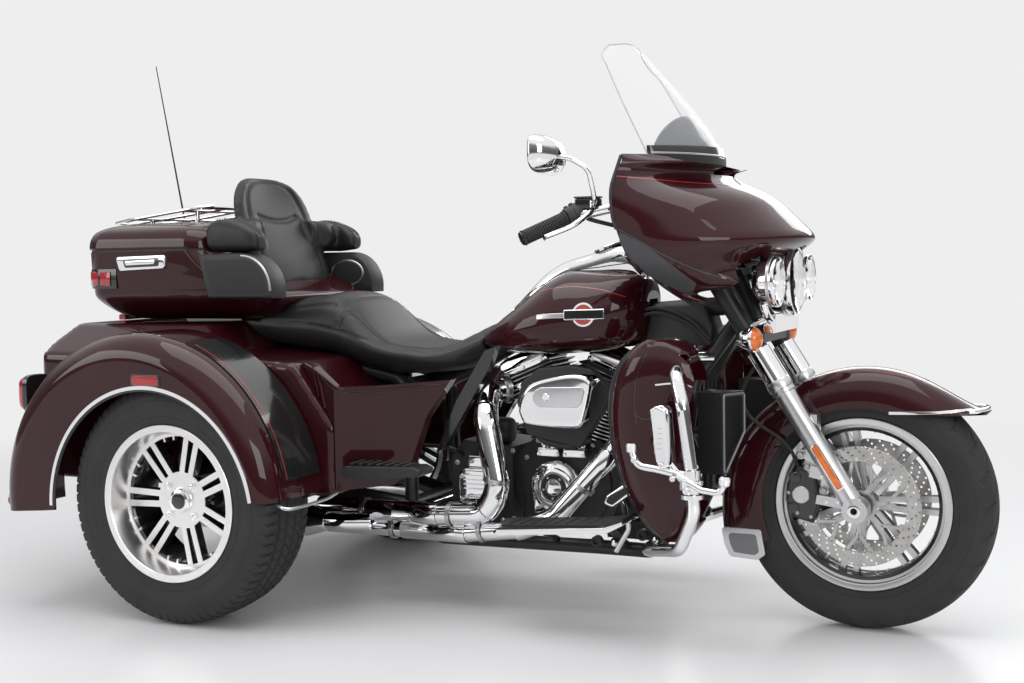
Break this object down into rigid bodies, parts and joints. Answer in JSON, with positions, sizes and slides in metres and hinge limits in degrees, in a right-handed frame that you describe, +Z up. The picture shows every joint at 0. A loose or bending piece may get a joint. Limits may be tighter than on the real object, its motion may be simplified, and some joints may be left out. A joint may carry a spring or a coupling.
{
  "type": "motorized trike",
  "caption": "Three-wheel touring motorcycle: steered front wheel with fairing, open V-twin engine, wide rear body over two driven wheels and a luggage box.",
  "frame": {"origin": "on the ground, under the middle of the object's overall box", "axes": "+X forward towards the front wheel, +Y to the rider's left, +Z up"},
  "size_m": [2.7336, 1.3966, 1.6103],
  "materials": {
    "paint": "deep dark red gloss with thin red lines",
    "black_gloss": "glossy black",
    "black_plastic": "fine-grained black",
    "chrome": "polished",
    "satin_metal": "satin, machined",
    "rim_metal": "machined faces over dark pockets",
    "black_metal": "satin black",
    "engine_black": "black with bright fin edges",
    "steel": "brushed",
    "tyre": "black rubber with tread",
    "rubber": "matt black",
    "leather": "black, lightly grained, sewn",
    "clear_screen": "clear with a smoked upper edge",
    "red_lens": "translucent red"
  },
  "bodies": {
    "chassis": {"frame": "black_metal", "rear_axle": "black_metal", "crankcase": "engine_black", "cylinders": "engine_black", "rocker_covers": "chrome", "pushrod_tubes": "chrome", "air_cleaner": "chrome", "engine_covers": "chrome", "exhaust_pipes": "chrome", "mufflers": "chrome", "rear_body": "paint", "rear_fenders": "paint", "stone_guards": "black_gloss", "side_covers": "paint", "deflectors": "black_gloss", "tail_lamps": "red_lens", "top_box": "paint", "speaker_pods": "black_plastic", "backrest": "leather", "antenna": "black_metal", "fuel_tank": "paint", "tank_console": "chrome", "seat": "leather", "engine_guard": "chrome", "lower_fairings": "paint", "highway_pegs": "chrome", "radiators": "black_metal", "floorboards": "black_metal", "pillion_boards": "black_metal"},
    "box_lid": {"top_box_lid": "paint", "luggage_rack": "chrome"},
    "trunk_door": {"trunk_door": "paint"},
    "steering": {"triple_clamps": "black_metal", "fork_legs": "satin_metal", "fork_covers": "chrome", "front_axle": "steel", "front_fender": "paint", "fairing_outer": "paint", "fairing_inner": "black_plastic", "windshield": "clear_screen", "headlamps": "chrome", "turn_signals": "chrome", "handlebar": "black_metal", "mirrors": "chrome", "brake_calipers": "black_metal", "brake_hose": "rubber"},
    "front_wheel": {"front_tyre": "tyre", "front_rim": "rim_metal", "front_discs": "steel"},
    "rear_wheel_right": {"rear_tyre_right": "tyre", "rear_rim_right": "rim_metal"},
    "rear_wheel_left": {"rear_tyre_left": "tyre", "rear_rim_left": "rim_metal"}
  },
  "joints": [
    {"name": "steering_turn", "type": "hinge", "parent": "chassis", "child": "steering", "pos_m": [1.147, 0, 0], "axis": [-0.4384, 0, 0.8988], "range_deg": [-32, 32]},
    {"name": "front_wheel_spin", "type": "hinge", "parent": "steering", "child": "front_wheel", "pos_m": [1.047, 0, 0.32], "axis": [0, 1, 0], "continuous": true},
    {"name": "rear_wheel_right_spin", "type": "hinge", "parent": "chassis", "child": "rear_wheel_right", "pos_m": [-0.623, -0.57, 0.3235], "axis": [0, 1, 0], "continuous": true},
    {"name": "rear_wheel_left_spin", "type": "hinge", "parent": "chassis", "child": "rear_wheel_left", "pos_m": [-0.623, 0.57, 0.3235], "axis": [0, 1, 0], "continuous": true},
    {"name": "box_lid_hinge", "type": "hinge", "parent": "chassis", "child": "box_lid", "pos_m": [-1.003, 0.306, 0.988], "axis": [-1, 0, 0], "range_deg": [0, 75]},
    {"name": "trunk_door_hinge", "type": "hinge", "parent": "chassis", "child": "trunk_door", "pos_m": [-1.263, 0, 0.446], "axis": [0, -1, 0], "range_deg": [0, 80]}
  ]
}
